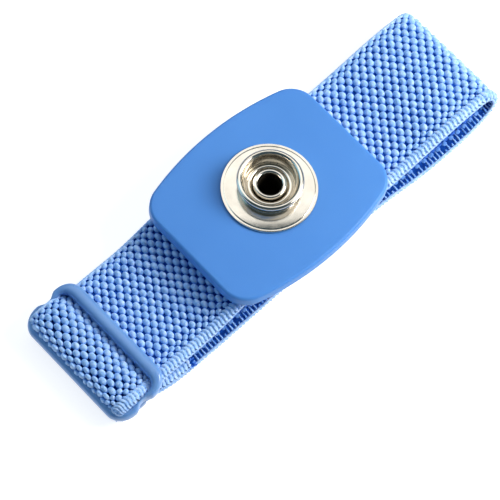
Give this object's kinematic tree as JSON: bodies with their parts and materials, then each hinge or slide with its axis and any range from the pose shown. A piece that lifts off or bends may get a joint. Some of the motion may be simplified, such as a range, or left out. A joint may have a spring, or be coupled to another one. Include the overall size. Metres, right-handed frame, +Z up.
{
  "type": "esd wrist strap",
  "caption": "Elastic conductive wrist band lying as a flattened loop, with a soft plate, a snap stud for a grounding cord and a three-bar size slide.",
  "frame": {"origin": "under the middle of the whole strap, on the surface it lies on", "axes": "+X along the band from the slide towards the far turn, +Y across the band, +Z up along the snap stud"},
  "size_m": [0.081, 0.027, 0.0124],
  "materials": {
    "cover_plastic": "satin soft plastic",
    "slide_plastic": "moulded, slightly translucent",
    "woven_elastic": "light blue raised bumps over a navy ground",
    "sewing_thread": "twisted light blue thread",
    "conductive_yarn": "silvered conductive yarn",
    "nickel": "bright nickel plate",
    "stainless": "pressed stainless, fine turned grain"
  },
  "bodies": {
    "root": {"cover_plate": "cover_plastic", "snap_stud": "nickel", "eyelet": "nickel", "contact_cap": "stainless", "band_left_run": "woven_elastic", "band_clamped_run": "woven_elastic", "band_right_run": "woven_elastic", "band_lower_right": "woven_elastic", "band_lower_left": "woven_elastic", "free_end": "woven_elastic", "free_end_bartack": "sewing_thread", "yarns_left_run": "conductive_yarn", "yarns_clamped_run": "conductive_yarn", "yarns_right_run": "conductive_yarn", "yarns_lower_right": "conductive_yarn", "yarns_lower_left": "conductive_yarn"},
    "slide": {"slide_frame": "slide_plastic", "band_over_bar": "woven_elastic", "band_end_loop": "woven_elastic", "band_end_hem": "woven_elastic", "band_end_ply": "woven_elastic", "end_hem_stitching": "sewing_thread"},
    "turn": {"band_turn": "woven_elastic", "yarns_turn": "conductive_yarn"}
  },
  "joints": [
    {"name": "slide_adjust", "type": "slide", "parent": "root", "child": "slide", "axis": [1, 0, 0], "range_m": [0, 0.008], "deforming": ["band_left_run", "yarns_left_run", "band_lower_left", "yarns_lower_left"]},
    {"name": "elastic_stretch", "type": "slide", "parent": "root", "child": "turn", "axis": [1, 0, 0], "range_m": [0, 0.02], "stiffness_N_per_m": 150, "deforming": ["band_right_run", "yarns_right_run", "band_lower_right", "yarns_lower_right"]}
  ]
}
